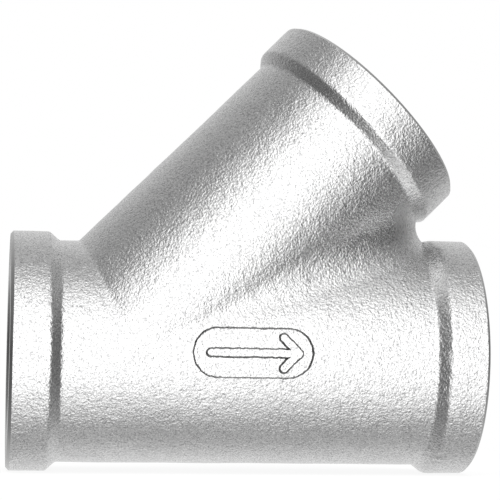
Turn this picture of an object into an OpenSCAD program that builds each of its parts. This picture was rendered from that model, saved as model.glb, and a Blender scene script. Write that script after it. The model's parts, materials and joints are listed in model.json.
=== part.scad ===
// Screwed Y strainer, DN15: a cast Y body, a screen standing on a seat inside it, and a plug with
// a hexagon socket that closes the branch. Millimetres.
// The origin is the centre of the inlet end face. +X is the way the water flows, +Z is up, and
// the branch leans in the XZ plane from +Z towards +X.

/* [Body] */
// Inlet end face to outlet end face
run_length = 58.9; // [58.5:0.1:62]
// Inlet end face to the crossing of the two axes
inlet_leg = 14.5; // [14.5:0.1:15.5]
// Crossing of the two axes to the branch end face
branch_leg = 45.2; // [45:0.1:47]
// Outside diameter of the run and of the branch
shell_d = 28.2; // [28:0.1:29]
// Outside diameter of the three bands
band_d = 30.4; // [30:0.1:32]
// Width of the flat part of a band
band_w = 4.9; // [4:0.1:5.5]
// Bore of the waterway
waterway_d = 21.4; // [21:0.1:21.8]

/* [Flow mark] */
// Length of the sunk field
mark_l = 15; // [13:0.1:16]
// Height of the sunk field
mark_h = 6.3; // [5:0.1:6.5]
// Depth of the sunk field
mark_depth = 0.35; // [0.2:0.05:0.5]
// Sunk field below the run's axis
mark_drop = 0.35; // [0:0.05:0.6]

/* [Screen] */
// Outside diameter of the perforated tube
tube_d = 12; // [11.6:0.1:12.2]
// Diameter of the holes in the tube
hole_d = 1.8; // [1.2:0.1:2]
// Holes around the tube
holes_around = 12; // [8:1:12]
// Rows of holes along the tube
hole_rows = 9; // [6:1:9]

/* [Plugs] */
// Length of the access plug
plug_l = 13; // [12.6:0.1:13.4]
// Access plug below the branch end face
plug_sunk = 0.8; // [0.4:0.1:1.2]
// Hexagon socket of the access plug, across flats
plug_key = 12; // [11.6:0.1:12.4]
// Hexagon socket of the blow-off plug, across flats
blow_off_key = 5; // [4:0.5:5]

/* [Hidden] */
$fn = 72;

branch_angle = 45;

// Pipe thread G 1/2 as plain walls: the hole at its minor diameter, the plug just under it
thread_r = 18.631 / 2;
thread_mouth_r = 10.7;
thread_relief_r = 10.6;
inlet_thread_end = 10.5;
outlet_thread_l = 13;
plug_r = thread_r - 0.065;

// Pipe thread G 1/8 as plain walls
small_thread_r = 8.566 / 2;
shank_r = small_thread_r - 0.063;

shell_r = shell_d / 2;
band_r = band_d / 2;
shoulder = 1.25;
bevel_sink = 0.4;
edge = 0.4;
waterway_r = waterway_d / 2;

// Gap between stacked pieces, and the radial play of a ring in its recess
gap = 0.02;
play = 0.1;

// Places along the branch, from the crossing of the axes
seat_s = 6.2;
web = 2.2;
seat_sink = 1;
plug_top_s = branch_leg - plug_sunk;
plug_low_s = plug_top_s - plug_l;
gasket_t = 1.5;
land_s = plug_low_s - gasket_t - 2 * gap;
land_t = 2.1;
land_r = 7.6;

// Screen
ring_r = 6.9;
ring_h = 2.5;
lip_t = 0.5;
lip_r = 5.1;
tube_r = tube_d / 2;
tube_t = 0.5;
mesh_t = 0.3;
seat_hole_r = 5.4;
plug_recess = 2.4;
screen_low_s = seat_s - seat_sink + gap;
screen_top_s = plug_low_s + plug_recess - 0.2;
tube_low_s = screen_low_s + lip_t + gap;
tube_top_s = screen_top_s - lip_t - gap;

// Plugs
plug_socket = 6;
plug_floor_s = plug_top_s - plug_socket;
plug_chamfer = 0.8;
washer_t = 1;
collar_r = plug_key / 2 - 0.3;
collar_h = 1.6;
shank_l = 5;
collar_s = plug_floor_s + washer_t + 2 * gap;

// Flow mark
arrow_l = 11.2;
arrow_line = 0.8;
arrow_head = 2.8;

far = 60;

// Stands its children on the run, x from the inlet face, with their z along the flow
module on_run(x) {
    translate([x, 0, 0]) rotate([0, 90, 0]) children();
}

// Stands its children on the branch, s from the crossing, with their z out of the branch
module on_branch(s) {
    translate([inlet_leg, 0, 0]) rotate([0, branch_angle, 0]) translate([0, 0, s]) children();
}

module tube(r_out, r_in, h) {
    difference() {
        cylinder(r = r_out, h = h);
        translate([0, 0, -1]) cylinder(r = r_in, h = h + 2);
    }
}

// Hexagon prism by its size across flats
module hexagon(across, h) {
    cylinder(r = across / sqrt(3), h = h, $fn = 6);
}

// Everything on the outer side of the web's plane at s, or on its inner side
module beyond(s) {
    on_branch(s) translate([-far, -far, 0]) cube(2 * far);
}

module before(s) {
    on_branch(s) translate([-far, -far, -2 * far]) cube(2 * far);
}

// Band with its end face at z = 0. Its bevelled shoulder runs on to a little under the shell
module band() {
    slope = shoulder / (band_r - shell_r);
    foot = band_w + shoulder + slope * bevel_sink;
    rotate_extrude() polygon([
        [0, 0], [band_r - edge, 0], [band_r, edge],
        [band_r, band_w], [shell_r - bevel_sink, foot], [0, foot]]);
}

module shell() {
    on_run(edge) cylinder(r = shell_r, h = run_length - 2 * edge);
    on_run(0) band();
    on_run(run_length) rotate([180, 0, 0]) band();
    on_branch(0) cylinder(r = shell_r, h = branch_leg - edge);
    on_branch(branch_leg) rotate([180, 0, 0]) band();
}

// Threaded mouth, cut inwards from z = 0
module mouth(depth) {
    lead = thread_mouth_r - thread_r;
    translate([0, 0, -1]) cylinder(r = thread_r, h = depth + 1);
    translate([0, 0, -1]) cylinder(r = thread_mouth_r, h = 1);
    cylinder(r1 = thread_mouth_r, r2 = thread_r, h = lead);
}

module waterway() {
    on_run(inlet_thread_end)
        cylinder(r = waterway_r, h = run_length - inlet_thread_end - outlet_thread_l);
}

// The inlet side ends at the web, and the outlet side starts behind it
module flow_path() {
    on_run(0) mouth(inlet_thread_end + gap);
    on_run(run_length) rotate([180, 0, 0]) mouth(outlet_thread_l + gap);
    intersection() {
        waterway();
        before(seat_s - web);
    }
    intersection() {
        waterway();
        beyond(seat_s);
    }
}

module screen_chamber() {
    on_branch(seat_s) cylinder(r = waterway_r, h = land_s - land_t - seat_s);
    on_branch(seat_s - web - 1) cylinder(r = seat_hole_r, h = web + 2);
    on_branch(seat_s - seat_sink) cylinder(r = ring_r + play, h = seat_sink + 1);
    on_branch(land_s - land_t - 1) cylinder(r = land_r, h = land_t + 2);
    on_branch(land_s) cylinder(r = thread_relief_r, h = gasket_t + 0.3);
    on_branch(branch_leg) rotate([180, 0, 0]) mouth(branch_leg - land_s - gasket_t);
}

module stadium(l, h) {
    for (side = [-1, 1]) translate([side * (l - h) / 2, 0]) circle(d = h);
    square([l - h, h], center = true);
}

module arrow() {
    tip = arrow_l / 2;
    translate([-tip, -arrow_line / 2]) square([arrow_l - arrow_line, arrow_line]);
    for (side = [-1, 1])
        translate([tip, 0]) rotate(side * 135) translate([0, -arrow_line / 2])
            square([arrow_head, arrow_line]);
    translate([tip, 0]) circle(d = arrow_line);
}

// Sunk field on the -Y side, with an arrow left standing at the level of the shell
module flow_mark() {
    difference() {
        translate([run_length / 2, 2 - shell_r, -mark_drop]) rotate([90, 0, 0])
            linear_extrude(4) difference() {
                stadium(mark_l, mark_h);
                arrow();
            }
        on_run(0) cylinder(r = shell_r - mark_depth, h = run_length);
    }
}

module body() color("silver") difference() {
    shell();
    flow_path();
    screen_chamber();
    flow_mark();
}

module access_plug() color("lightsteelblue") on_branch(plug_low_s) difference() {
    union() {
        cylinder(r1 = plug_r - plug_chamfer, r2 = plug_r, h = plug_chamfer);
        translate([0, 0, plug_chamfer]) cylinder(r = plug_r, h = plug_l - 2 * plug_chamfer);
        translate([0, 0, plug_l - plug_chamfer])
            cylinder(r1 = plug_r, r2 = plug_r - plug_chamfer, h = plug_chamfer);
    }
    translate([0, 0, -1]) cylinder(r = ring_r + play, h = plug_recess + 1);
    translate([0, 0, -1]) cylinder(r = small_thread_r, h = plug_l + 2);
    translate([0, 0, plug_l - plug_socket]) hexagon(plug_key, plug_socket + 1);
}

module plug_gasket() color("white") on_branch(land_s + gap)
    tube(plug_r - 0.05, land_r + 0.05, gasket_t);

// Every second row of holes is turned by half a pitch
module screen_tube() color("gainsboro") on_branch(tube_low_s) difference() {
    length = tube_top_s - tube_low_s;
    first = ring_h + hole_d / 2;
    pitch = (length - 2 * first) / (hole_rows - 1);
    tube(tube_r, tube_r - tube_t, length);
    for (row = [0:hole_rows - 1], turn = [0:holes_around - 1])
        rotate((turn + (row % 2) / 2) * 360 / holes_around)
            translate([tube_r - 2 * tube_t, 0, first + row * pitch])
                rotate([0, 90, 0]) cylinder(d = hole_d, h = 3 * tube_t);
}

module screen_mesh() color("darkgray") on_branch(tube_low_s)
    tube(tube_r - tube_t - 2 * gap, tube_r - tube_t - 2 * gap - mesh_t, tube_top_s - tube_low_s);

// End ring with its lip at z = 0 and the tube standing in it
module end_ring() {
    difference() {
        cylinder(r = ring_r, h = ring_h);
        translate([0, 0, -1]) cylinder(r = lip_r, h = lip_t + 2);
        translate([0, 0, lip_t]) cylinder(r = tube_r + gap, h = ring_h);
    }
}

module screen_seat_ring() color("silver") on_branch(screen_low_s) end_ring();

module screen_plug_ring() color("silver") on_branch(screen_top_s) rotate([180, 0, 0]) end_ring();

module blow_off_plug() color("lightsteelblue") on_branch(collar_s) difference() {
    union() {
        cylinder(r = collar_r, h = collar_h);
        translate([0, 0, -shank_l]) cylinder(r = shank_r, h = shank_l);
    }
    translate([0, 0, collar_h - 4]) hexagon(blow_off_key, 5);
}

module blow_off_washer() color("white") on_branch(plug_floor_s + gap)
    tube(collar_r - 0.05, small_thread_r + 0.05, washer_t);

body();
access_plug();
plug_gasket();
screen_tube();
screen_mesh();
screen_seat_ring();
screen_plug_ring();
blow_off_plug();
blow_off_washer();
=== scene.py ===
import json
import math

import bpy
import numpy as np
from mathutils import Matrix, Vector


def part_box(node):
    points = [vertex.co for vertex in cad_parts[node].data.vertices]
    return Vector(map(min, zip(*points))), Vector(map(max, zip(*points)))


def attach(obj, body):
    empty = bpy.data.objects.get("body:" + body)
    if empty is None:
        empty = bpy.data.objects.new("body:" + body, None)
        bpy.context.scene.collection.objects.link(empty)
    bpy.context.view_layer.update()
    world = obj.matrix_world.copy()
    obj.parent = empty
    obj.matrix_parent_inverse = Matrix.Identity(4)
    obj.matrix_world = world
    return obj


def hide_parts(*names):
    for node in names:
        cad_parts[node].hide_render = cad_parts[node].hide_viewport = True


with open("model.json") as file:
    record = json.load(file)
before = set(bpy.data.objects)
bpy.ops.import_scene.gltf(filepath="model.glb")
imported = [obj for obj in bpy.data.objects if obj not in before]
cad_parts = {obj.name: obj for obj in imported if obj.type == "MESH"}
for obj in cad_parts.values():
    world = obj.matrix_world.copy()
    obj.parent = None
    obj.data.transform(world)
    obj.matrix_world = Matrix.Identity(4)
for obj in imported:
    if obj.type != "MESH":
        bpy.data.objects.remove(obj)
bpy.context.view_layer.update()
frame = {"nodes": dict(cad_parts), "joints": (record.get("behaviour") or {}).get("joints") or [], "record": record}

# Lengths are in millimetres until a mesh is made, which scales them by MM.
MM = 0.001
SEED = 7

# ---------------------------------------------------------------------------
# Sizes from the frame


def joint(name):
    return next(j for j in frame["joints"] if j["name"] == name)


def mount(name):
    return next(m for m in frame["record"]["mounts"] if m["name"] == name)


AXIS = Vector(joint("plug_turn")["axis"]).normalized()
AXIS_POINT = Vector(joint("plug_turn")["pos_m"]) / MM
CROSS_X = AXIS_POINT.x - AXIS_POINT.z * AXIS.x / AXIS.z
COS = AXIS.z
SIN = AXIS.x

BODY_LOW, BODY_HIGH = (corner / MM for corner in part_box("body"))
RUN_L = BODY_HIGH.x - BODY_LOW.x
BAND_R = (BODY_HIGH.y - BODY_LOW.y) / 2
# The chamfer of the bands' outer edges
EDGE = 0.4
BRANCH_L = BODY_HIGH.z / COS - BAND_R + EDGE


def along_branch(node, chamfer=0.0):
    """Lower end, upper end and radius of a round CAD node on the branch's axis."""
    low, high = (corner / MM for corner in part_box(node))
    radius = (high.y - low.y) / 2
    ends = (radius - chamfer) * SIN
    return (low.z + ends) / COS, (high.z - ends) / COS, radius


THREAD_R = mount("inlet")["dims"]["r_mm"]
MOUTH_R = 10.7
INLET_THREAD = mount("inlet")["dims"]["length_mm"] + MOUTH_R - THREAD_R
OUTLET_THREAD = mount("outlet")["dims"]["length_mm"] + MOUTH_R - THREAD_R

# The casting
SHELL_R = 14.1
BAND_W = 4.9
SHOULDER = 1.25
RISE = BAND_R - SHELL_R
WATER_R = 10.7
WEB = 2.2
SEAT_SINK = 1.0
SEAT_HOLE_R = 5.4
LAND_T = 2.1
LAND_R = 7.6
RELIEF_R = 10.6

# The screen, the gasket and the plugs, low end first
SCREEN_LOW, _, RING_R = along_branch("screen_seat_ring")
_, SCREEN_HIGH, _ = along_branch("screen_plug_ring")
TUBE_LOW, TUBE_HIGH, TUBE_R = along_branch("screen_tube")
GASKET_LOW, GASKET_HIGH, GASKET_R = along_branch("plug_gasket")
PLUG_CHAMFER = 0.8
PLUG_LOW, PLUG_HIGH, _ = along_branch("access_plug", PLUG_CHAMFER)
WASHER_LOW, WASHER_HIGH, WASHER_R = along_branch("blow_off_washer")
SEAT_S = SCREEN_LOW + SEAT_SINK
LAND_S = GASKET_LOW
SOCKET_FLOOR = WASHER_LOW
COLLAR_R = (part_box("blow_off_plug")[1].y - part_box("blow_off_plug")[0].y) / 2 / MM
COLLAR_H = 1.6
SHANK_L = 5.0
RING_H = 2.5
LIP_T = 0.5
LIP_R = 5.1
PLAY = 0.1
STACK_GAP = 0.02
PLUG_RECESS = 2.4
PLUG_KEY = 12.0
BLOW_OFF_KEY = 5.0
BLOW_OFF_SOCKET = 4.0

# Pipe threads G 1/2 and G 1/8: pitch, minor and major radius
HALF_INCH = (25.4 / 14, THREAD_R, 20.955 / 2)
EIGHTH_INCH = (25.4 / 28, 8.566 / 2, 9.728 / 2)
THREAD_CLEARANCE = 0.06
THREAD_ROWS = 12

SEGMENTS = 160

# Places: z of each matrix runs along an axis
ON_INLET = Matrix.Rotation(math.pi / 2, 4, "Y")
ON_OUTLET = (Matrix.Translation((RUN_L, 0, 0)) @ Matrix.Rotation(math.pi / 2, 4, "Y")
             @ Matrix.Rotation(math.pi, 4, "X"))
ON_BRANCH = (Matrix.Translation((CROSS_X, 0, 0))
             @ Matrix.Rotation(math.atan2(SIN, COS), 4, "Y"))
ON_BRANCH_MOUTH = (ON_BRANCH @ Matrix.Translation((0, 0, BRANCH_L))
                   @ Matrix.Rotation(math.pi, 4, "X"))


# ---------------------------------------------------------------------------
# Mesh tools


def signed_volume(points, faces):
    """Positive when the faces look outwards."""
    total = 0.0
    for face in faces:
        a = points[face[0]]
        for k in range(1, len(face) - 1):
            total += np.dot(a, np.cross(points[face[k]], points[face[k + 1]]))
    return total / 6


def mesh_object(name, points, faces, materials=(), place=Matrix.Identity(4), turned=False):
    """A mesh from points in millimetres, set in place. turned picks the second material."""
    points = np.asarray(points, float)
    if not isinstance(faces, np.ndarray) and signed_volume(points, faces) < 0:
        faces = [face[::-1] for face in faces]
    mesh = bpy.data.meshes.new(name)
    mesh.from_pydata(points.tolist(), [], [list(map(int, face)) for face in faces])
    mesh.transform(Matrix.Scale(MM, 4) @ place)
    for material in materials:
        mesh.materials.append(material)
    if turned:
        mesh.polygons.foreach_set("material_index", [1] * len(mesh.polygons))
    mesh.validate()
    obj = bpy.data.objects.new(name, mesh)
    bpy.context.scene.collection.objects.link(obj)
    return obj


def revolve(profile, segments=SEGMENTS):
    """Points and faces of a closed solid: profile is (radius, z) from axis to axis, or a loop."""
    angles = np.arange(segments) * 2 * math.pi / segments
    points = []
    rings = []
    for radius, z in profile:
        start = len(points)
        if radius == 0:
            points.append((0, 0, z))
            rings.append([start] * segments)
        else:
            points += [(radius * math.cos(a), radius * math.sin(a), z) for a in angles]
            rings.append(list(range(start, start + segments)))
    loop = profile[0][0] != 0
    pairs = zip(rings, rings[1:] + rings[:1] if loop else rings[1:])
    faces = []
    for low, high in pairs:
        for i in range(segments):
            j = (i + 1) % segments
            corners = [low[i], low[j], high[j], high[i]]
            face = [c for k, c in enumerate(corners) if c != corners[k - 1]]
            faces.append(face)
    return points, faces


def prism(sides, across, low, high):
    """A regular prism by its size across flats."""
    radius = across / 2 / math.cos(math.pi / sides)
    angles = [2 * math.pi * k / sides for k in range(sides)]
    points = [(radius * math.cos(a), radius * math.sin(a), z) for z in (low, high) for a in angles]
    walls = [[k, (k + 1) % sides, (k + 1) % sides + sides, k + sides] for k in range(sides)]
    return points, walls + [list(range(sides))[::-1], list(range(sides, 2 * sides))]


def apply_modifiers(obj):
    """Replaces the object's mesh by the one its modifiers give."""
    graph = bpy.context.evaluated_depsgraph_get()
    mesh = bpy.data.meshes.new_from_object(obj.evaluated_get(graph))
    old = obj.data
    obj.modifiers.clear()
    obj.data = mesh
    mesh.name = obj.name
    bpy.data.meshes.remove(old)


def combine(obj, tool, operation):
    """Cuts, joins or intersects obj with tool, and removes the tool."""
    modifier = obj.modifiers.new("combine", "BOOLEAN")
    modifier.operation = operation
    modifier.solver = "MANIFOLD"
    modifier.object = tool
    apply_modifiers(obj)
    bpy.data.meshes.remove(tool.data)
    return obj


def smooth_by_angle(obj, degrees=32):
    mesh = obj.data
    mesh.polygons.foreach_set("use_smooth", [True] * len(mesh.polygons))
    mesh.set_sharp_from_angle(angle=math.radians(degrees))
    mesh.update()


def thread_height(fraction):
    """Whitworth form over one pitch, 0 at the root and 1 at the crest, both a little rounded."""
    cut_off = 1 / 6
    roundness = 0.3
    triangle = 1 - abs(2 * fraction - 1)
    flank = min(max((triangle - cut_off) / (1 - 2 * cut_off), 0.0), 1.0)
    rounded = flank * flank * (3 - 2 * flank)
    return (1 - roundness) * flank + roundness * rounded


def thread_solid(name, form, low, high, materials=(), place=Matrix.Identity(4), grow=0.0,
                 segments=120, turned=False):
    """A right-handed threaded rod with flat ends. Its phase depends only on place."""
    pitch, minor, major = form
    first = (math.floor(low / pitch) - 2) * pitch
    rows = (math.ceil((high - low) / pitch) + 5) * THREAD_ROWS
    points = []
    for i in range(segments):
        angle = 2 * math.pi * i / segments
        lead = pitch * i / segments
        for j in range(rows + 1):
            height = thread_height(j % THREAD_ROWS / THREAD_ROWS)
            radius = minor + (major - minor) * height + grow
            points.append((radius * math.cos(angle), radius * math.sin(angle),
                           first + lead + pitch * j / THREAD_ROWS))

    def at(i, j):
        return (0, j + THREAD_ROWS) if i == segments else (i, j)

    def index(i, j):
        i, j = at(i, j)
        return i * (rows + 1) + j

    faces = []
    for i in range(segments):
        top = rows - THREAD_ROWS if i == segments - 1 else rows
        for j in range(top):
            faces.append([index(i, j), index(i + 1, j), index(i + 1, j + 1), index(i, j + 1)])
    around = range(segments)
    step = range(THREAD_ROWS, 0, -1)
    bottom = [index(i, 0) for i in around] + [index(0, j) for j in step]
    top = [index(i, rows) for i in around]
    top += [index(segments - 1, rows - k) for k in range(1, THREAD_ROWS + 1)]
    low_centre = len(points)
    points += [(0, 0, first + pitch / 2), (0, 0, points[index(0, rows)][2] + pitch / 2)]
    for k in range(len(bottom)):
        faces.append([bottom[k], bottom[k - 1], low_centre])
    for k in range(len(top)):
        faces.append([top[k - 1], top[k], low_centre + 1])
    rod = mesh_object(name, points, faces, materials, place, turned)
    wide = major + 2
    trim = mesh_object("trim", *revolve([(0, low), (wide, low), (wide, high), (0, high)], 48),
                       materials, place, turned)
    return combine(rod, trim, "INTERSECT")


# ---------------------------------------------------------------------------
# The casting as a distance field, negative inside


def smooth_min(a, b, width):
    blend = np.maximum(width - np.abs(a - b), 0) / width
    return np.minimum(a, b) - blend * blend * width / 4


def smooth_max(a, b, width):
    return -smooth_min(-a, -b, width)


def smooth_step(x, low, high):
    t = np.clip((x - low) / (high - low), 0, 1)
    return t * t * (3 - 2 * t)


def rolling_fillet(a, b, facing, radius):
    """The union of two fields with a round fillet. facing is the cosine between their slopes."""
    to_a = radius - a
    to_b = radius - b
    spread = np.maximum(1 - facing * facing, 1e-5)
    reach = np.sqrt(np.maximum(to_a ** 2 + to_b ** 2 - 2 * facing * to_a * to_b, 0) / spread)
    inside = (to_a > facing * to_b) & (to_b > facing * to_a)
    return np.where(inside, radius - reach, np.minimum(a, b))


def band_field(inwards, radial, shoulder=SHOULDER):
    """A band with its end face at 0 and a bevelled shoulder inwards."""
    bevel = ((inwards - BAND_W) * RISE + (radial - BAND_R) * shoulder) / math.hypot(RISE, shoulder)
    return smooth_max(radial - BAND_R, bevel, BAND_ROUND)


BAND_ROUND = 0.10
FOOT_ROUND = 0.08
INNER_ROUND = 0.8
CROSSING_ROUND = 1.5
# The fillet between run and branch: behind, in the crotch and at its sides
BACK_FILLET = 0.5
CROTCH_FILLET = 3.0
SIDE_FILLET = 5.0
# Where along the run the front's fillet takes over, and how far out the sides' does
FRONT = (CROSS_X + 5, CROSS_X + 20)
SIDE = (2, 12)
OUTLET_SHOULDER = SHOULDER + 0.2
END_SPARE = 1.0


def cast_field(x, y, z):
    """Distance to the casting's skin. s runs up the branch and u across it."""
    s = (x - CROSS_X) * SIN + z * COS
    u = z * SIN - (x - CROSS_X) * COS
    run_r = np.hypot(y, z)
    branch_r = np.hypot(y, u)
    facing = (y * y + z * u * SIN) / np.maximum(run_r * branch_r, 1e-6)
    front = smooth_step(x, *FRONT)
    wide = CROTCH_FILLET + (SIDE_FILLET - CROTCH_FILLET) * smooth_step(np.abs(y), *SIDE)
    radius = BACK_FILLET + (wide - BACK_FILLET) * front
    run = run_r - SHELL_R
    shell = np.where(s > 0, rolling_fillet(run, branch_r - SHELL_R, facing, radius), run)
    bands = np.minimum(band_field(x, run_r), band_field(RUN_L - x, run_r, OUTLET_SHOULDER))
    bands = np.minimum(bands, band_field(BRANCH_L - s, branch_r))
    outer = smooth_min(shell, bands, FOOT_ROUND)
    ends = np.maximum(np.maximum(-x, x - RUN_L), s - BRANCH_L) - END_SPARE
    outer = np.maximum(outer, ends)

    before_web = np.maximum(s - (SEAT_S - WEB), INLET_THREAD - x)
    inlet_side = smooth_max(run_r - WATER_R, before_web, INNER_ROUND)
    past_web = np.maximum(SEAT_S - s, x - (RUN_L - OUTLET_THREAD))
    outlet_side = smooth_max(run_r - WATER_R, past_web, INNER_ROUND)
    chamber_ends = np.maximum(SEAT_S - s, s - (LAND_S - LAND_T))
    chamber = smooth_max(branch_r - WATER_R, chamber_ends, INNER_ROUND)
    hollow = np.minimum(inlet_side, smooth_min(outlet_side, chamber, CROSSING_ROUND))
    return np.maximum(outer, -hollow)


def lattice_noise(points, cell, seed):
    """Smooth noise between -1 and 1 with one random value per cell corner."""
    rng = np.random.default_rng(seed)
    size = 64
    values = rng.uniform(-1, 1, (size, size, size))
    scaled = points / cell
    base = np.floor(scaled).astype(int)
    f = scaled - base
    f = f * f * (3 - 2 * f)
    total = np.zeros(len(points))
    for dx in (0, 1):
        for dy in (0, 1):
            for dz in (0, 1):
                weight = (np.abs(1 - dx - f[:, 0]) * np.abs(1 - dy - f[:, 1])
                          * np.abs(1 - dz - f[:, 2]))
                corner = (base + (dx, dy, dz)) % size
                total += weight * values[corner[:, 0], corner[:, 1], corner[:, 2]]
    return total


WEAR_DEPTH = 0.10
WEAR_CELL = 0.75
# Cell and height of each layer of unevenness
WAVES = [(6.0, 0.045), (2.2, 0.022), (0.9, 0.010)]
WAVE_DROP = 0.03


def rim_wear(points):
    """Bites out of the bands' inner edges, in millimetres."""
    x, y, z = points.T
    s = (x - CROSS_X) * SIN + z * COS
    u = z * SIN - (x - CROSS_X) * COS
    run_r = np.hypot(y, z)
    near = np.zeros(len(points))
    for inwards, radial in ((x, run_r), (RUN_L - x, run_r), (BRANCH_L - s, np.hypot(y, u))):
        close = 1 - smooth_step(np.abs(inwards - BAND_W), 0.1, 0.5)
        near = np.maximum(near, close * smooth_step(radial, SHELL_R + 0.5, BAND_R - 0.1))
    return WEAR_DEPTH * near * np.maximum(lattice_noise(points, WEAR_CELL, SEED + 3), 0)


def uneven(points):
    """How far the cast skin stands off its true form, never outwards."""
    waves = sum(height * lattice_noise(points, cell, SEED + k)
                for k, (cell, height) in enumerate(WAVES))
    return np.minimum(waves - WAVE_DROP, 0) - rim_wear(points)


def surface_net(values, origin, step):
    """Points and quads of the zero surface of a grid of values, negative inside."""
    inside = values < 0
    cells = tuple(n - 1 for n in values.shape)
    corners = [(i, j, k) for i in (0, 1) for j in (0, 1) for k in (0, 1)]
    count = np.zeros(cells, np.int8)
    for i, j, k in corners:
        count += inside[i:i + cells[0], j:j + cells[1], k:k + cells[2]]
    active = np.argwhere((count > 0) & (count < 8))
    total = np.zeros((len(active), 3))
    crossings = np.zeros(len(active))
    for start in corners:
        for axis in range(3):
            if start[axis] == 1:
                continue
            end = tuple(start[n] + (n == axis) for n in range(3))
            v0 = values[tuple((active + start).T)].astype(float)
            v1 = values[tuple((active + end).T)].astype(float)
            crossed = (v0 < 0) != (v1 < 0)
            share = np.where(crossed, v0 / np.where(crossed, v0 - v1, 1), 0)
            place = np.tile(np.array(start, float), (len(active), 1))
            place[:, axis] += share
            total += place * crossed[:, None]
            crossings += crossed
    points = origin + step * (active + total / crossings[:, None])
    number = np.full(cells, -1, np.int32)
    number[tuple(active.T)] = np.arange(len(active))
    quads = []
    for a in range(3):
        b, c = (a + 1) % 3, (a + 2) % 3
        shape = list(values.shape)
        shape[a] -= 1
        near = inside[tuple(slice(0, shape[n]) for n in range(3))]
        far = inside[tuple(slice(1, None) if n == a else slice(0, shape[n]) for n in range(3))]
        for leaving in (True, False):
            edges = np.argwhere((near & ~far) if leaving else (far & ~near))
            ring = []
            for db, dc in ((1, 1), (0, 1), (0, 0), (1, 0)):
                cell = edges.copy()
                cell[:, b] -= db
                cell[:, c] -= dc
                ring.append(number[tuple(cell.T)])
            ring = ring if leaving else ring[::-1]
            quads.append(np.stack(ring, 1))
    return points, np.concatenate(quads)


def settle_on_surface(points, rounds=3, reach=0.05, longest=0.3):
    """Moves points along the field's slope until they lie on the uneven cast surface."""
    for _ in range(rounds):
        value = cast_field(*points.T) - uneven(points)
        slope = np.empty_like(points)
        for axis in range(3):
            offset = np.zeros(3)
            offset[axis] = reach
            slope[:, axis] = (cast_field(*(points + offset).T)
                              - cast_field(*(points - offset).T)) / (2 * reach)
        steep = np.maximum((slope ** 2).sum(1), 0.25)
        points = points - slope * np.clip(value / steep, -longest, longest)[:, None]
    return points


def cast_blank(step):
    """Points and quads of the casting before its ends, threads and seats are cut."""
    margin = 2.0
    low = np.array([-margin, -BAND_R - margin, -BAND_R - margin])
    high = np.array([RUN_L + margin, BAND_R + margin, BODY_HIGH.z + margin])
    axes = [np.arange(low[n], high[n], step) for n in range(3)]
    x, y, z = np.meshgrid(*axes, indexing="ij", sparse=True)
    values = cast_field(x, y, z).astype(np.float32)
    points, quads = surface_net(values, low, step)
    return settle_on_surface(points), quads


# ---------------------------------------------------------------------------
# Cutting tools for the casting


def mouth_tool(place, materials):
    """Faces the end, breaks its outer edge and leads into the thread, from z = 0 inwards."""
    lead = MOUTH_R - THREAD_R
    spare = END_SPARE + 1
    over = 1.0
    sunk = 0.3
    profile = [(0, -spare), (BAND_R + over, -spare), (BAND_R + over, over + EDGE),
               (BAND_R - EDGE, 0), (MOUTH_R, 0), (THREAD_R - sunk, lead + sunk), (0, lead + sunk)]
    return mesh_object("mouth_tool", *revolve(profile), materials, place, True)


def land_tool(materials):
    """Gasket land and thread relief."""
    land = LAND_S - STACK_GAP
    bottom = LAND_S - LAND_T - 1
    top = GASKET_HIGH + 0.3
    profile = [(0, bottom), (LAND_R, bottom), (LAND_R, land), (RELIEF_R, land), (RELIEF_R, top),
               (0, top)]
    return mesh_object("land_tool", *revolve(profile), materials, ON_BRANCH, True)


def seat_tool(materials):
    """Hole through the web and the sunk seat of the screen."""
    floor = SEAT_S - SEAT_SINK - STACK_GAP
    wall = RING_R + PLAY
    lead = 0.25
    bottom = SEAT_S - WEB - 1
    top = SEAT_S + 1
    profile = [(0, bottom), (SEAT_HOLE_R, bottom), (SEAT_HOLE_R, floor), (wall, floor),
               (wall, SEAT_S - lead), (wall + 1 + lead, top), (0, top)]
    return mesh_object("seat_tool", *revolve(profile), materials, ON_BRANCH, True)


# The flow mark: a sunk field with an arrow left standing in it
MARK_L = 15.0
MARK_H = 6.3
MARK_DEPTH = 0.35
MARK_DROP = 0.35
MARK_SLOPE = 1.5
MARK_MARGIN = 0.6
MARK_ROUGH = 0.05
MARK_ROUGH_CELL = 0.45
WALL_ABOVE = 0.1
STROKE_R = 0.4
ARROW_TIP = 5.6
ARROW_BACK = 1.86


def segment_distance(x, z, start, end):
    """Distance in the XZ plane to the line from start to end."""
    start = np.array(start)
    run = np.array(end) - start
    share = np.clip(((x - start[0]) * run[0] + (z - start[1]) * run[1]) / (run @ run), 0, 1)
    return np.hypot(x - start[0] - share * run[0], z - start[1] - share * run[1])


def mark_distance(x, z):
    """Distance to the edge of the sunk field, negative inside it and positive on the arrow."""
    half = (MARK_L - MARK_H) / 2
    field = segment_distance(x, z, (-half, 0), (half, 0)) - MARK_H / 2
    arrow = segment_distance(x, z, (STROKE_R - ARROW_TIP, 0), (ARROW_TIP, 0))
    for side in (-1, 1):
        barb = (ARROW_TIP - ARROW_BACK, side * ARROW_BACK)
        arrow = np.minimum(arrow, segment_distance(x, z, (ARROW_TIP, 0), barb))
    return np.maximum(field, STROKE_R - arrow)


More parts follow.
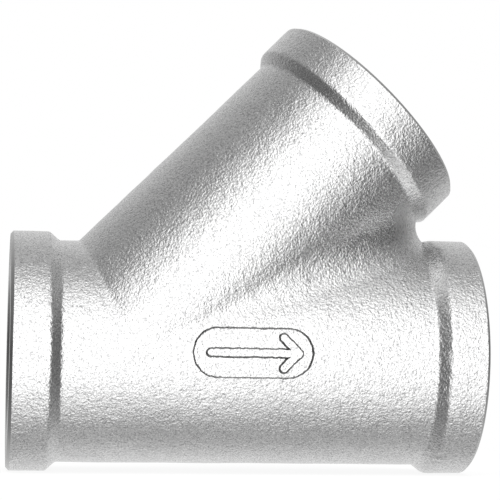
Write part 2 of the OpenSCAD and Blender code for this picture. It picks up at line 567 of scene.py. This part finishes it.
def mark_tool(materials):
    """A thin block whose inner face dips below the skin all over the sunk field."""
    step = 0.075
    over = 0.25
    thickness = 1.0
    xs, zs = (np.arange(-size / 2 - MARK_MARGIN, size / 2 + MARK_MARGIN, step)
              for size in (MARK_L, MARK_H))
    x, z = np.meshgrid(xs, zs, indexing="ij")
    grid = np.stack([x.ravel(), np.zeros(x.size), z.ravel()], 1)
    rough = MARK_ROUGH * lattice_noise(grid, MARK_ROUGH_CELL, SEED + 4).reshape(x.shape)
    dip = -MARK_SLOPE * (mark_distance(x, z) + rough)
    radius = SHELL_R - np.clip(dip, -over, MARK_DEPTH)
    height = z - MARK_DROP
    inner = np.stack([x + RUN_L / 2, -np.sqrt(radius ** 2 - height ** 2), height], -1)
    outer = inner.copy()
    outer[..., 1] = -np.sqrt((SHELL_R + thickness) ** 2 - height ** 2)
    rows, columns = x.shape
    points = np.concatenate([inner.reshape(-1, 3), outer.reshape(-1, 3)])
    layer = rows * columns
    faces = []
    for i in range(rows - 1):
        for j in range(columns - 1):
            a = i * columns + j
            face = [a, a + 1, a + columns + 1, a + columns]
            faces += [face[::-1], [c + layer for c in face]]
    border = ([i * columns for i in range(rows)]
              + [(rows - 1) * columns + j for j in range(1, columns)]
              + [i * columns + columns - 1 for i in range(rows - 2, -1, -1)]
              + [j for j in range(columns - 2, 0, -1)])
    for a, b in zip(border, border[1:] + border[:1]):
        faces.append([b, a, a + layer, b + layer])
    tool = mesh_object("mark_tool", points, faces, materials)
    # Faces of the field's steep walls take the third material: painted shade along the mark's outline
    middle = (dip[:-1, :-1] + dip[1:, 1:]) / 2
    wall = (middle > -WALL_ABOVE) & (middle < MARK_DEPTH)
    slots = np.zeros(len(tool.data.polygons), int)
    slots[0:2 * wall.size:2] = 2 * wall.ravel()
    tool.data.polygons.foreach_set("material_index", slots)
    return tool


CAST_STEP = 0.3


def casting():
    """The Y body. Its materials are the cast skin, turned faces and the mark's walls, darkened with painted shade.
    """
    materials = [cast_skin("cast_skin"), turned_steel("turned_casting", ON_INLET),
                 cast_skin("mark_walls", MARK_WALL_SHADE)]
    points, quads = cast_blank(CAST_STEP)
    body = mesh_object("cast_body", points, quads, materials)
    tools = [mouth_tool(place, materials) for place in (ON_INLET, ON_OUTLET, ON_BRANCH_MOUTH)]
    tools += [land_tool(materials), seat_tool(materials)]
    threads = [(-2, INLET_THREAD + 0.1, ON_INLET), (-2, OUTLET_THREAD + 0.1, ON_OUTLET),
               (GASKET_HIGH, BRANCH_L + 2, ON_BRANCH)]
    tools += [thread_solid("thread_tool", HALF_INCH, low, high, materials, place, turned=True)
              for low, high, place in threads]
    tools.append(mark_tool(materials))
    for tool in tools:
        combine(body, tool, "DIFFERENCE")
    smooth_by_angle(body, 40)
    return body


# ---------------------------------------------------------------------------
# Plugs, seals and screen, all on the branch's axis


def access_plug():
    """The threaded plug with its hexagon socket, the recess of the ring and the tapped hole."""
    steel = [turned_steel("turned_plug", ON_BRANCH)]
    _, minor, major = HALF_INCH
    plug = thread_solid("access_plug_threaded", HALF_INCH, PLUG_LOW - 1, PLUG_HIGH + 1, steel,
                        ON_BRANCH, grow=-THREAD_CLEARANCE)
    taper = major - minor + 0.2
    end_r = major - taper
    face_r = end_r - 0.3
    edge = 0.1
    blank = [(0, PLUG_LOW), (face_r, PLUG_LOW), (end_r, PLUG_LOW + edge),
             (major, PLUG_LOW + taper), (major, PLUG_HIGH - taper), (end_r, PLUG_HIGH - edge),
             (face_r, PLUG_HIGH), (0, PLUG_HIGH)]
    combine(plug, mesh_object("blank", *revolve(blank), steel, ON_BRANCH), "INTERSECT")
    lead = 0.6
    socket_r = PLUG_KEY / math.sqrt(3)
    mouth = [(0, PLUG_HIGH - lead), (socket_r - lead, PLUG_HIGH - lead),
             (socket_r + lead, PLUG_HIGH + lead), (0, PLUG_HIGH + lead)]
    floor = SOCKET_FLOOR - STACK_GAP
    wall = RING_R + PLAY
    recess = [(0, PLUG_LOW - 1), (wall + 0.8, PLUG_LOW - 1), (wall + 0.2, PLUG_LOW),
              (wall, PLUG_LOW + 0.3), (wall, PLUG_LOW + PLUG_RECESS),
              (0, PLUG_LOW + PLUG_RECESS)]
    tools = [mesh_object("socket", *prism(6, PLUG_KEY, floor, PLUG_HIGH + 1), steel, ON_BRANCH),
             mesh_object("socket_mouth", *revolve(mouth), steel, ON_BRANCH),
             mesh_object("recess", *revolve(recess), steel, ON_BRANCH),
             thread_solid("tapped", EIGHTH_INCH, PLUG_LOW, floor + 1, steel, ON_BRANCH)]
    for tool in tools:
        combine(plug, tool, "DIFFERENCE")
    smooth_by_angle(plug)
    return plug


def blow_off_plug():
    """The small plug: threaded shank, collar and hexagon socket."""
    steel = [turned_steel("turned_blow_off", ON_BRANCH)]
    _, minor, major = EIGHTH_INCH
    seat = WASHER_HIGH + STACK_GAP
    low = seat - SHANK_L
    high = seat + COLLAR_H
    plug = thread_solid("blow_off_threaded", EIGHTH_INCH, low - 1, seat + 0.2, steel, ON_BRANCH,
                        grow=-THREAD_CLEARANCE, segments=80)
    taper = major - minor
    neck_low = WASHER_LOW
    neck_r = minor - THREAD_CLEARANCE
    blank = [(0, low), (minor - 0.1, low), (major, low + taper), (major, neck_low - taper),
             (neck_r, neck_low), (0, neck_low)]
    combine(plug, mesh_object("blank", *revolve(blank, 96), steel, ON_BRANCH), "INTERSECT")
    root = neck_low - 0.3
    low_edge = 0.15
    top_edge = 0.35
    neck = [(0, root), (neck_r, root), (neck_r, seat), (COLLAR_R - low_edge, seat),
            (COLLAR_R, seat + low_edge), (COLLAR_R, high - top_edge),
            (COLLAR_R - top_edge, high), (0, high)]
    combine(plug, mesh_object("collar", *revolve(neck, 96), steel, ON_BRANCH), "UNION")
    key_r = BLOW_OFF_KEY / math.sqrt(3)
    lead = 0.3
    mouth = [(0, high - lead), (key_r - lead, high - lead), (key_r + lead, high + lead),
             (0, high + lead)]
    socket = prism(6, BLOW_OFF_KEY, high - BLOW_OFF_SOCKET, high + 1)
    combine(plug, mesh_object("socket", *socket, steel, ON_BRANCH), "DIFFERENCE")
    combine(plug, mesh_object("socket_mouth", *revolve(mouth, 96), steel, ON_BRANCH), "DIFFERENCE")
    smooth_by_angle(plug)
    return plug


def round_ring(name, r_in, r_out, low, high, corner, material):
    """A flat ring with quarter-round corners."""
    steps = 4
    centres = [(r_out - corner, low + corner, -90), (r_out - corner, high - corner, 0),
               (r_in + corner, high - corner, 90), (r_in + corner, low + corner, 180)]
    profile = []
    for r, z, start in centres:
        for k in range(steps + 1):
            angle = math.radians(start + 90 * k / steps)
            profile.append((r + corner * math.cos(angle), z + corner * math.sin(angle)))
    ring = mesh_object(name, *revolve(profile), [material], ON_BRANCH)
    smooth_by_angle(ring)
    return ring


def end_ring(name, low, outwards):
    """L-shaped ring: its lip lies at low, and outwards is 1 or -1 along the branch."""
    steel = [turned_steel("turned_" + name, ON_BRANCH)]
    bore = TUBE_R + STACK_GAP
    cut = 0.15
    profile = [(LIP_R, 0.05), (LIP_R + 0.05, 0), (RING_R - cut, 0), (RING_R, cut),
               (RING_R, RING_H - cut), (RING_R - cut, RING_H), (bore + cut, RING_H),
               (bore, RING_H - cut), (bore, LIP_T), (LIP_R, LIP_T)]
    profile = [(r, low + outwards * z) for r, z in profile]
    ring = mesh_object(name, *revolve(profile), steel, ON_BRANCH)
    smooth_by_angle(ring)
    return ring


HOLE_R = 0.9
HOLES_AROUND = 12
HOLE_ROWS = 9
SHEET_T = 0.5
BEAD_R = 0.35
BEAD_SUNK = 0.12
BEAD_ANGLE = 15


def perforated_tube():
    """Rolled sheet with staggered holes and a weld bead along one side."""
    sheet = [sheet_steel()]
    rings = 54
    heights = np.linspace(TUBE_LOW, TUBE_HIGH, rings)
    profile = [(TUBE_R, z) for z in heights]
    profile += [(TUBE_R - SHEET_T, z) for z in heights[::-1]]
    tube = mesh_object("perforated_tube", *revolve(profile, 144), sheet, ON_BRANCH)
    bead_low = TUBE_LOW + RING_H
    bead_high = TUBE_HIGH - RING_H
    bead_line = [(BEAD_R, z) for z in heights if bead_low <= z <= bead_high]
    bead = revolve([(0, bead_low)] + bead_line + [(0, bead_high)], 16)
    offset = (Matrix.Rotation(math.radians(BEAD_ANGLE), 4, "Z")
              @ Matrix.Translation((TUBE_R - BEAD_SUNK, 0, 0)))
    combine(tube, mesh_object("bead", *bead, sheet, ON_BRANCH @ offset), "UNION")
    first = RING_H + HOLE_R
    pitch = (TUBE_HIGH - TUBE_LOW - 2 * first) / (HOLE_ROWS - 1)
    drill = revolve([(0, 0), (HOLE_R, 0), (HOLE_R, 3 * SHEET_T), (0, 3 * SHEET_T)], 24)
    across = Matrix.Rotation(math.pi / 2, 4, "Y")
    points = []
    faces = []
    for row in range(HOLE_ROWS):
        for hole in range(HOLES_AROUND):
            turn = Matrix.Rotation((hole + row % 2 / 2) * 2 * math.pi / HOLES_AROUND, 4, "Z")
            out = Matrix.Translation((TUBE_R - 2 * SHEET_T, 0, TUBE_LOW + first + row * pitch))
            place = turn @ out @ across
            faces += [[c + len(points) for c in face] for face in drill[1]]
            points += [tuple(place @ Vector(p)) for p in drill[0]]
    combine(tube, mesh_object("drills", points, faces, sheet, ON_BRANCH), "DIFFERENCE")
    smooth_by_angle(tube)
    return tube


MESH_T = 0.3
WIRE_R = 0.1
WIRE_PITCH = 0.75
WIRE_SIDES = 6
# How far a wire weaves to each side, as a share of its radius
WIRE_SWING = 0.55


def wire(path, closed):
    """Points and faces of a round wire along a path of points, closed on itself or capped."""
    path = np.asarray(path)
    if closed:
        ahead = np.roll(path, -1, 0) - np.roll(path, 1, 0)
    else:
        ahead = np.gradient(path, axis=0)
    ahead /= np.linalg.norm(ahead, axis=1)[:, None]
    outward = path * (1, 1, 0)
    outward /= np.linalg.norm(outward, axis=1)[:, None]
    outward -= ahead * (outward * ahead).sum(1)[:, None]
    outward /= np.linalg.norm(outward, axis=1)[:, None]
    side = np.cross(ahead, outward)
    points = []
    for k in range(len(path)):
        for n in range(WIRE_SIDES):
            a = 2 * math.pi * n / WIRE_SIDES
            points.append(path[k] + WIRE_R * (math.cos(a) * outward[k] + math.sin(a) * side[k]))
    faces = []
    last = len(path) if closed else len(path) - 1
    for k in range(last):
        for n in range(WIRE_SIDES):
            m = (n + 1) % WIRE_SIDES
            a, b = k * WIRE_SIDES, (k + 1) % len(path) * WIRE_SIDES
            faces.append([a + n, a + m, b + m, b + n])
    if not closed:
        end = (len(path) - 1) * WIRE_SIDES
        faces.append(list(range(WIRE_SIDES))[::-1])
        faces.append(list(range(end, end + WIRE_SIDES)))
    return points, faces


def woven_mesh():
    """Plain weave rolled into a sleeve: straight warp wires and weft rings, over and under."""
    radius = TUBE_R - SHEET_T - 2 * STACK_GAP - MESH_T / 2
    low, high = TUBE_LOW + WIRE_R, TUBE_HIGH - WIRE_R
    warps = 2 * round(math.pi * radius / WIRE_PITCH)
    wefts = round((high - low) / WIRE_PITCH)
    spacing = (high - low) / wefts
    samples = 4
    points = []
    faces = []

    def add(path, closed):
        new_points, new_faces = wire(path, closed)
        faces.extend([c + len(points) for c in face] for face in new_faces)
        points.extend(new_points)

    swing = WIRE_R * WIRE_SWING
    for k in range(warps):
        angle = 2 * math.pi * k / warps
        z = np.linspace(low, high, wefts * samples + 1)
        r = radius + swing * np.cos(math.pi * ((z - low) / spacing - 0.5 + k))
        add(np.stack([r * math.cos(angle), r * math.sin(angle), z], 1), False)
    for row in range(wefts):
        angle = 2 * math.pi * np.arange(warps * samples) / (warps * samples)
        r = radius - swing * np.cos(angle * warps / 2 + math.pi * row)
        z = np.full_like(angle, low + (row + 0.5) * spacing)
        add(np.stack([r * np.cos(angle), r * np.sin(angle), z], 1), True)
    mesh = mesh_object("woven_mesh", points, faces, [woven_wire()], ON_BRANCH)
    smooth_by_angle(mesh, 70)
    return mesh


# ---------------------------------------------------------------------------
# Materials


class Nodes:
    """Short forms for building a node tree."""

    def __init__(self, tree):
        self.tree = tree
        tree.nodes.clear()

    def add(self, kind, values=None, **settings):
        node = self.tree.nodes.new(kind)
        for key, value in settings.items():
            setattr(node, key, value)
        for key, value in (values or {}).items():
            if isinstance(value, bpy.types.NodeSocket):
                self.tree.links.new(value, node.inputs[key])
            else:
                node.inputs[key].default_value = value
        return node

    def math(self, operation, a, b=0.0):
        return self.add("ShaderNodeMath", {0: a, 1: b}, operation=operation).outputs[0]

    def length(self, a, b):
        return self.math("SQRT", self.math("ADD", self.math("MULTIPLY", a, a),
                                           self.math("MULTIPLY", b, b)))

    def noise(self, vector, scale, detail=2.0, roughness=0.5):
        node = self.add("ShaderNodeTexNoise", {"Vector": vector, "Scale": scale, "Detail": detail,
                                               "Roughness": roughness})
        return node.outputs["Fac"]

    def remap(self, value, low, high, new_low, new_high):
        node = self.add("ShaderNodeMapRange", {"Value": value, "From Min": low, "From Max": high,
                                               "To Min": new_low, "To Max": new_high})
        return node.outputs[0]

    def ramp(self, value, stops):
        node = self.add("ShaderNodeValToRGB", {"Fac": value})
        elements = node.color_ramp.elements
        while len(elements) < len(stops):
            elements.new(0.5)
        for element, (position, level) in zip(elements, stops):
            element.position = position
            element.color = (level, level, level, 1)
        return node.outputs["Color"]

    def bump(self, height, distance, strength=1.0, below=None):
        values = {"Height": height, "Distance": distance, "Strength": strength}
        if below is not None:
            values["Normal"] = below
        return self.add("ShaderNodeBump", values).outputs["Normal"]


def new_material(name):
    material = bpy.data.materials.new(name)
    material.use_nodes = True
    nodes = Nodes(material.node_tree)
    place = nodes.add("ShaderNodeTexCoord").outputs["Object"]
    surface = nodes.add("ShaderNodeBsdfPrincipled")
    output = nodes.add("ShaderNodeOutputMaterial", {"Surface": surface.outputs[0]})
    output.is_active_output = True
    return material, nodes, place, surface


def tint(nodes, value, dark, light):
    """A colour between dark at 0 and light at 1."""
    mix = nodes.add("ShaderNodeMix", {"Factor": value}, data_type="RGBA")
    mix.inputs["A"].default_value = (*dark, 1)
    mix.inputs["B"].default_value = (*light, 1)
    return mix.outputs["Result"]


# How dark the mark's walls are painted: painted shade on the sunk field's steep walls
MARK_WALL_SHADE = 0.38
# Noise scales of the cast skin, per metre, and bump heights in metres
GRAIN = 3300.0
COARSE_GRAIN = 1100.0
CLOUD = 130.0
SPECKS = 4600.0
GRAIN_BUMP = 0.000115
COARSE_BUMP = 0.00007


def cast_skin(name, shade=1.0):
    """Blasted investment casting: bright grains between small dull pits. shade darkens it, which puts painted
    shade on the mark's walls.
    """
    material, nodes, place, surface = new_material(name)
    grain = nodes.noise(place, GRAIN, 2.0, 0.6)
    coarse = nodes.noise(place, COARSE_GRAIN, 2.0, 0.5)
    cloud = nodes.noise(place, CLOUD, 2.0, 0.5)
    specks = nodes.noise(place, SPECKS, 2.0, 0.6)
    normal = nodes.bump(coarse, COARSE_BUMP, 1.0)
    normal = nodes.bump(grain, GRAIN_BUMP, 1.0, normal)
    links = nodes.tree.links
    clean = nodes.remap(specks, 0.34, 0.52, 0.0, 1.0)
    dark = tuple(0.52 * shade * level for level in (1.0, 1.0, 1.01))
    light = tuple(0.86 * shade * level for level in (1.0, 1.0, 0.998))
    links.new(tint(nodes, clean, dark, light), surface.inputs["Base Color"])
    links.new(nodes.remap(cloud, 0.3, 0.7, 0.22, 0.30), surface.inputs["Roughness"])
    links.new(normal, surface.inputs["Normal"])
    surface.inputs["Metallic"].default_value = 1.0
    return material


def turned_steel(name, place_matrix):
    """Turned stainless steel, with fine rings round the axis that place_matrix gives."""
    material, nodes, place, surface = new_material(name)
    turn = place_matrix.inverted()
    mapping = nodes.add("ShaderNodeMapping", {"Vector": place})
    mapping.inputs["Rotation"].default_value = turn.to_euler()
    mapping.inputs["Location"].default_value = turn.to_translation() * MM
    split = nodes.add("ShaderNodeSeparateXYZ", {"Vector": mapping.outputs[0]})
    x, y, z = split.outputs
    radius = nodes.length(x, y)
    rings = nodes.add("ShaderNodeCombineXYZ", {"X": radius, "Y": z}).outputs[0]
    lines = nodes.noise(rings, 5200.0, 2.0, 0.6)
    smear = nodes.noise(place, 260.0, 3.0, 0.6)
    links = nodes.tree.links
    links.new(tint(nodes, smear, (0.52, 0.52, 0.52), (0.72, 0.72, 0.715)),
              surface.inputs["Base Color"])
    links.new(nodes.remap(smear, 0.3, 0.7, 0.20, 0.36), surface.inputs["Roughness"])
    links.new(nodes.bump(lines, 0.00002, 0.5), surface.inputs["Normal"])
    surface.inputs["Metallic"].default_value = 1.0
    return material


def sheet_steel():
    """Cold rolled stainless sheet, with faint streaks along the tube."""
    material, nodes, place, surface = new_material("rolled_sheet")
    turn = nodes.add("ShaderNodeMapping", {"Vector": place})
    turn.inputs["Rotation"].default_value = ON_BRANCH.inverted().to_euler()
    turn.inputs["Scale"].default_value = (1, 1, 0.12)
    streaks = nodes.noise(turn.outputs[0], 2600.0, 3.0, 0.6)
    smear = nodes.noise(place, 300.0, 2.0, 0.5)
    links = nodes.tree.links
    links.new(tint(nodes, smear, (0.55, 0.55, 0.56), (0.74, 0.74, 0.74)),
              surface.inputs["Base Color"])
    links.new(nodes.remap(streaks, 0.3, 0.7, 0.22, 0.38), surface.inputs["Roughness"])
    links.new(nodes.bump(streaks, 0.00001, 0.4), surface.inputs["Normal"])
    surface.inputs["Metallic"].default_value = 1.0
    return material


def woven_wire():
    """Drawn stainless wire."""
    material, nodes, place, surface = new_material("woven_wire")
    shade = nodes.noise(place, 900.0, 2.0, 0.5)
    links = nodes.tree.links
    links.new(tint(nodes, shade, (0.46, 0.46, 0.47), (0.70, 0.70, 0.71)),
              surface.inputs["Base Color"])
    links.new(nodes.remap(shade, 0.3, 0.7, 0.25, 0.4), surface.inputs["Roughness"])
    surface.inputs["Metallic"].default_value = 1.0
    return material


def seal_plastic(name):
    """White sealing plastic, waxy, with faint skiving lines."""
    material, nodes, place, surface = new_material(name)
    mottle = nodes.noise(place, 420.0, 3.0, 0.55)
    fine = nodes.noise(place, 3800.0, 2.0, 0.5)
    links = nodes.tree.links
    links.new(tint(nodes, mottle, (0.83, 0.83, 0.80), (0.93, 0.93, 0.91)),
              surface.inputs["Base Color"])
    links.new(nodes.remap(mottle, 0.3, 0.7, 0.42, 0.55), surface.inputs["Roughness"])
    links.new(nodes.bump(fine, 0.00001, 0.4), surface.inputs["Normal"])
    surface.inputs["Subsurface Weight"].default_value = 0.15
    surface.inputs["Subsurface Scale"].default_value = 0.0008
    return material


def cad_steel():
    """For CAD nodes that stay hidden behind their visual piece."""
    material, nodes, place, surface = new_material("plain_steel")
    shade = nodes.noise(place, 600.0, 2.0, 0.5)
    nodes.tree.links.new(tint(nodes, shade, (0.5, 0.5, 0.5), (0.7, 0.7, 0.7)),
                         surface.inputs["Base Color"])
    surface.inputs["Metallic"].default_value = 1.0
    surface.inputs["Roughness"].default_value = 0.35
    return material


# ---------------------------------------------------------------------------
# The set

# The camera, in degrees, metres and, for its lens, millimetres
VIEW_AZIMUTH = -8.364
VIEW_ELEVATION = -5.13
VIEW_ROLL = 0.636
VIEW_DISTANCE = 0.2358
VIEW_AIM = Vector((0.03083, -0.00038, 0.01343))
VIEW_LENS = 130.82


def view_axes():
    """Right, up and back of the camera."""
    azimuth, elevation, roll = map(math.radians, (VIEW_AZIMUTH, VIEW_ELEVATION, VIEW_ROLL))
    back = Vector((math.sin(azimuth) * math.cos(elevation),
                   -math.cos(azimuth) * math.cos(elevation), math.sin(elevation)))
    level = (-back).cross(Vector((0, 0, 1))).normalized()
    above = level.cross(-back)
    right = level * math.cos(roll) + above * math.sin(roll)
    up = above * math.cos(roll) - level * math.sin(roll)
    return right, up, back


def make_camera():
    right, up, back = view_axes()
    data = bpy.data.cameras.new("view")
    data.sensor_width = 36.0
    data.lens = VIEW_LENS
    data.clip_start = 0.01
    data.clip_end = 20.0
    camera = bpy.data.objects.new("view", data)
    bpy.context.scene.collection.objects.link(camera)
    turn = Matrix((right, up, back)).transposed().to_4x4()
    camera.matrix_world = Matrix.Translation(VIEW_AIM + back * VIEW_DISTANCE) @ turn
    bpy.context.scene.camera = camera


# The light: a tall soft panel on the camera's side in a grey room, dark at its sides.
# Directions are measured from the camera's back, as right, up and back.
PANEL_RIGHT = 0.09
PANEL_UP = 0.10
PANEL_WIDTH = 0.38
PANEL_HEIGHT = 0.88
PANEL_REACH = 2.0
# Brightness by distance from the panel's middle, as a share of PANEL_REACH
PANEL = [(0.0, 1.0), (0.20, 0.97), (0.29, 0.80), (0.37, 0.56), (0.44, 0.40), (0.5, 0.28),
         (0.6, 0.12), (0.68, 0.0)]
LIGHT_STRENGTH = 1.72
# The room: its sides, its top and bottom, the change low down in front and behind, far behind
SIDE_GREY = 0.058
TOP_GREY = 0.21
LOW_DIP = -0.06
LOW_GLOW = 0.14
FAR_GLOW = 0.26


def make_world():
    """White to the eye, and the panel and the room to everything that reflects."""
    world = bpy.data.worlds.new("studio")
    bpy.context.scene.world = world
    world.use_nodes = True
    nodes = Nodes(world.node_tree)
    direction = nodes.add("ShaderNodeTexCoord").outputs["Generated"]
    right, up, back = (nodes.add("ShaderNodeVectorMath", {0: direction, 1: axis},
                                 operation="DOT_PRODUCT").outputs["Value"]
                       for axis in view_axes())
    tiny = 0.001
    spread = nodes.math("ADD", back, 1 + tiny)
    across = nodes.math("SUBTRACT", nodes.math("DIVIDE", right, spread), PANEL_RIGHT)
    along = nodes.math("SUBTRACT", nodes.math("DIVIDE", up, spread), PANEL_UP)
    reach = nodes.length(nodes.math("DIVIDE", across, PANEL_WIDTH),
                         nodes.math("DIVIDE", along, PANEL_HEIGHT))
    panel = nodes.ramp(nodes.math("DIVIDE", reach, PANEL_REACH), PANEL)
    lift = nodes.math("DIVIDE", nodes.math("ABSOLUTE", up),
                      nodes.math("ADD", nodes.length(right, up), tiny))
    room = nodes.remap(lift, 0.0, 1.0, SIDE_GREY, TOP_GREY)
    low = nodes.math("MULTIPLY", nodes.remap(up, 0.0, -1.0, 0.0, 1.0),
                     nodes.remap(back, 0.2, -0.6, LOW_DIP, LOW_GLOW))
    far = nodes.remap(back, -0.2, -0.95, 0.0, FAR_GLOW)
    room = nodes.math("ADD", room, nodes.math("ADD", low, far))
    light = nodes.math("MAXIMUM", panel, room)
    tent = nodes.add("ShaderNodeBackground", {"Color": light, "Strength": LIGHT_STRENGTH})
    white = nodes.add("ShaderNodeBackground", {"Color": (1, 1, 1, 1), "Strength": 1.0})
    seen = nodes.add("ShaderNodeLightPath").outputs["Is Camera Ray"]
    mix = nodes.add("ShaderNodeMixShader", {0: seen, 1: tent.outputs[0], 2: white.outputs[0]})
    nodes.add("ShaderNodeOutputWorld", {"Surface": mix.outputs[0]})


# The floor, in metres
MIDDLE_X = 0.03
FADE_START = 0.03
FADE_END = 0.16
FLOOR_GLOW = 0.9


def make_floor():
    """A pale floor that fades into the white around it."""
    half = 3.0 / MM
    z = -BAND_R
    corners = [(-half, -half, z), (half, -half, z), (half, half, z), (-half, half, z)]
    material, nodes, place, surface = new_material("pale_floor")
    surface.inputs["Base Color"].default_value = (0.92, 0.92, 0.92, 1)
    surface.inputs["Roughness"].default_value = 0.9
    glow = nodes.add("ShaderNodeEmission", {"Color": (1, 1, 1, 1), "Strength": 1.0})
    away = nodes.add("ShaderNodeVectorMath", {0: place, 1: (MIDDLE_X, 0.0, z * MM)},
                     operation="DISTANCE").outputs["Value"]
    share = nodes.remap(away, FADE_START, FADE_END, FLOOR_GLOW, 1.0)
    mix = nodes.add("ShaderNodeMixShader", {0: share, 1: surface.outputs[0], 2: glow.outputs[0]})
    output = next(n for n in nodes.tree.nodes if n.type == "OUTPUT_MATERIAL")
    nodes.tree.links.new(mix.outputs[0], output.inputs["Surface"])
    floor = mesh_object("floor", corners, np.array([[0, 1, 2, 3]]), [material])
    floor.visible_glossy = False


LAMP_SIZE = 0.8
LAMP_WATTS = 9.0


def make_lights():
    """One large soft lamp overhead that lights the floor and the seals but isn't mirrored."""
    data = bpy.data.lights.new("overhead", "AREA")
    data.size = LAMP_SIZE
    data.energy = LAMP_WATTS
    lamp = bpy.data.objects.new("overhead", data)
    lamp.location = (MIDDLE_X, -0.25, 0.8)
    aim = Vector((MIDDLE_X, 0, 0)) - lamp.location
    lamp.rotation_euler = aim.to_track_quat("-Z", "Y").to_euler()
    lamp.visible_glossy = False
    bpy.context.scene.collection.objects.link(lamp)


# ---------------------------------------------------------------------------
# Assembly


def place_piece(piece, body, node):
    """Lets a piece ride on its body in its CAD node's place."""
    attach(piece, body)
    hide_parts(node)


def dress_cad_nodes():
    """A plain material for every node of the frame."""
    steel = cad_steel()
    for node in frame["nodes"].values():
        node.data.materials.clear()
        node.data.materials.append(steel)


SEAL_GAP = 0.05


def build():
    dress_cad_nodes()
    place_piece(casting(), "casting", "body")
    place_piece(access_plug(), "plug", "access_plug")
    place_piece(round_ring("flat_gasket", LAND_R + SEAL_GAP, GASKET_R, GASKET_LOW, GASKET_HIGH,
                           0.25, seal_plastic("gasket_plastic")),
                "gasket", "plug_gasket")
    place_piece(end_ring("seat_ring", SCREEN_LOW, 1), "screen", "screen_seat_ring")
    place_piece(end_ring("plug_ring", SCREEN_HIGH, -1), "screen", "screen_plug_ring")
    place_piece(perforated_tube(), "screen", "screen_tube")
    place_piece(woven_mesh(), "screen", "screen_mesh")
    place_piece(blow_off_plug(), "blow_off", "blow_off_plug")
    washer_bore = EIGHTH_INCH[1] + SEAL_GAP
    place_piece(round_ring("sealing_washer", washer_bore, WASHER_R, WASHER_LOW, WASHER_HIGH, 0.2,
                           seal_plastic("washer_plastic")),
                "washer", "blow_off_washer")


build()
make_floor()
make_lights()
make_world()
make_camera()
bpy.context.scene.view_settings.view_transform = "Standard"
